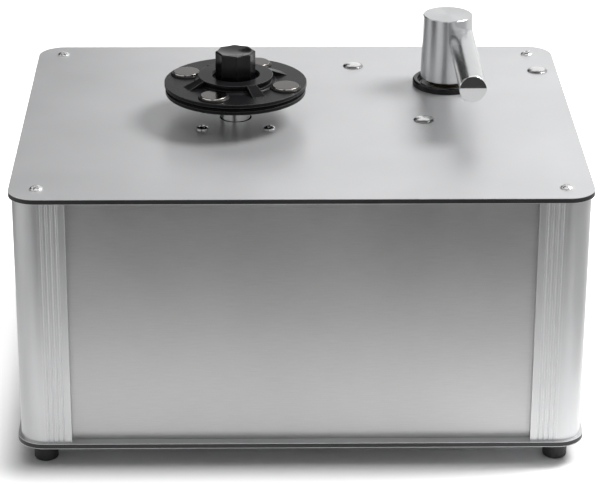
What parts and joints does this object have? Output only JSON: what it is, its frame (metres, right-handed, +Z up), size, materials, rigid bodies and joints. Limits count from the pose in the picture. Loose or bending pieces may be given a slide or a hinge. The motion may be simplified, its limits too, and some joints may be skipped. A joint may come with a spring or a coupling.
{
  "type": "record cleaning machine",
  "caption": "Vacuum record cleaning machine: low metal case on rubber feet, driven spindle with record rest and clamp puck, swivelling suction arm on a round tower.",
  "frame": {"origin": "under the middle of the case, on the surface that the feet stand on", "axes": "+X to the right, along the case's width; -Y towards the user, the front panel; +Z up"},
  "size_m": [0.415, 0.33, 0.2694],
  "materials": {
    "plate_core": "satin black",
    "plate_skin": "fine satin",
    "post_metal": "satin anodised",
    "panel_metal": "satin anodised",
    "screw_steel": "zinc plated",
    "dome_chrome": "polished",
    "rubber": "matt",
    "cast_alloy": "as cast",
    "bearing_steel": "ground",
    "motor_steel": "laminated",
    "black_plastic": "fine texture",
    "gloss_black": "gloss",
    "bush_plastic": "smooth",
    "lid_plastic": "moulded",
    "tank_plastic": "natural, moulded",
    "clear_tube": "clear",
    "board_green": "solder mask",
    "spindle_steel": "polished",
    "brass": "machined",
    "magnet_nickel": "nickel plated",
    "tower_metal": "turned",
    "arm_metal": "polished",
    "velvet": "pile"
  },
  "bodies": {
    "case": {"base_plate_core": "plate_core", "base_plate_skins": "plate_skin", "top_plate_core": "plate_core", "top_plate_skins": "plate_skin", "corner_post_front_left": "post_metal", "corner_post_front_right": "post_metal", "corner_post_rear_left": "post_metal", "corner_post_rear_right": "post_metal", "front_panel": "panel_metal", "rear_panel": "panel_metal", "left_panel": "panel_metal", "right_panel": "panel_metal", "corner_screws": "screw_steel", "foot_screws": "screw_steel", "feet": "rubber", "dome_screws": "dome_chrome", "motor_screws": "screw_steel", "gearbox_case": "cast_alloy", "gearbox_cover": "cast_alloy", "spindle_bearings": "bearing_steel", "motor_stator": "motor_steel", "motor_end_bells": "cast_alloy", "tower_ring": "gloss_black", "stem_bush": "bush_plastic", "tank_lid": "lid_plastic", "tank_gasket": "rubber", "waste_tank": "tank_plastic", "suction_hose": "black_plastic", "turbine_housing": "black_plastic", "turbine_motor": "motor_steel", "turbine_mount": "rubber", "circuit_board": "board_green", "transformer": "motor_steel", "wiring": "black_plastic", "mains_inlet": "black_plastic", "switch_frames": "black_plastic", "drain_elbow": "black_plastic", "level_tube": "clear_tube", "tube_clips": "black_plastic"},
    "spindle": {"spindle": "spindle_steel", "record_rest": "black_plastic", "rest_seal": "rubber", "output_gear": "brass"},
    "clamp": {"clamp_disc": "black_plastic", "clamp_seal": "rubber", "clamp_magnets": "magnet_nickel", "clamp_knob": "gloss_black"},
    "layshaft": {"layshaft_gears": "brass"},
    "motor_rotor": {"motor_rotor": "motor_steel"},
    "arm_carrier": {"guide_sleeve": "brass", "lift_spring": "bearing_steel"},
    "arm": {"arm_tower": "tower_metal", "arm_stem": "bearing_steel", "arm_tube": "arm_metal", "arm_end_plug": "arm_metal", "velvet_strips": "velvet"},
    "turbine_rotor": {"turbine_impeller": "bearing_steel"},
    "motor_switch_rocker": {"motor_rocker": "gloss_black"},
    "suction_switch_rocker": {"suction_rocker": "gloss_black"},
    "stopper": {"drain_stopper": "rubber"}
  },
  "joints": [
    {"name": "spindle_spin", "type": "hinge", "parent": "case", "child": "spindle", "pos_m": [-0.0477, 0.0006, 0.212], "axis": [0, 0, 1], "continuous": true},
    {"name": "clamp_lift", "type": "slide", "parent": "spindle", "child": "clamp", "axis": [0, 0, 1], "range_m": [0, 0.03]},
    {"name": "layshaft_spin", "type": "hinge", "parent": "case", "child": "layshaft", "pos_m": [-0.0327, 0.0006, 0.1775], "axis": [0, 0, 1], "continuous": true},
    {"name": "rotor_spin", "type": "hinge", "parent": "case", "child": "motor_rotor", "pos_m": [-0.0477, 0.0006, 0.1325], "axis": [0, 0, 1], "continuous": true},
    {"name": "arm_swivel", "type": "hinge", "parent": "case", "child": "arm_carrier", "pos_m": [0.117, 0.074, 0.212], "axis": [0, 0, 1], "range_deg": [-70, 20]},
    {"name": "arm_lift", "type": "slide", "parent": "arm_carrier", "child": "arm", "axis": [0, 0, -1], "range_m": [0, 0.004], "stiffness_N_per_m": 1500, "springref_m": -0.005, "deforming": ["lift_spring"]},
    {"name": "turbine_spin", "type": "hinge", "parent": "case", "child": "turbine_rotor", "pos_m": [-0.125, 0.08, 0.1025], "axis": [0, 0, 1], "continuous": true},
    {"name": "motor_switch", "type": "hinge", "parent": "case", "child": "motor_switch_rocker", "pos_m": [0.1951, -0.098, 0.1625], "axis": [0, 1, 0], "range_deg": [-10, 10]},
    {"name": "suction_switch", "type": "hinge", "parent": "case", "child": "suction_switch_rocker", "pos_m": [0.1951, -0.072, 0.1625], "axis": [0, 1, 0], "range_deg": [0, 20]},
    {"name": "stopper_pull", "type": "slide", "parent": "case", "child": "stopper", "axis": [0, 0, 1], "range_m": [0, 0.008]}
  ],
  "couplings": [
    {"joint": "layshaft_spin", "follows": "spindle_spin", "ratio": -4},
    {"joint": "rotor_spin", "follows": "spindle_spin", "ratio": 16}
  ]
}
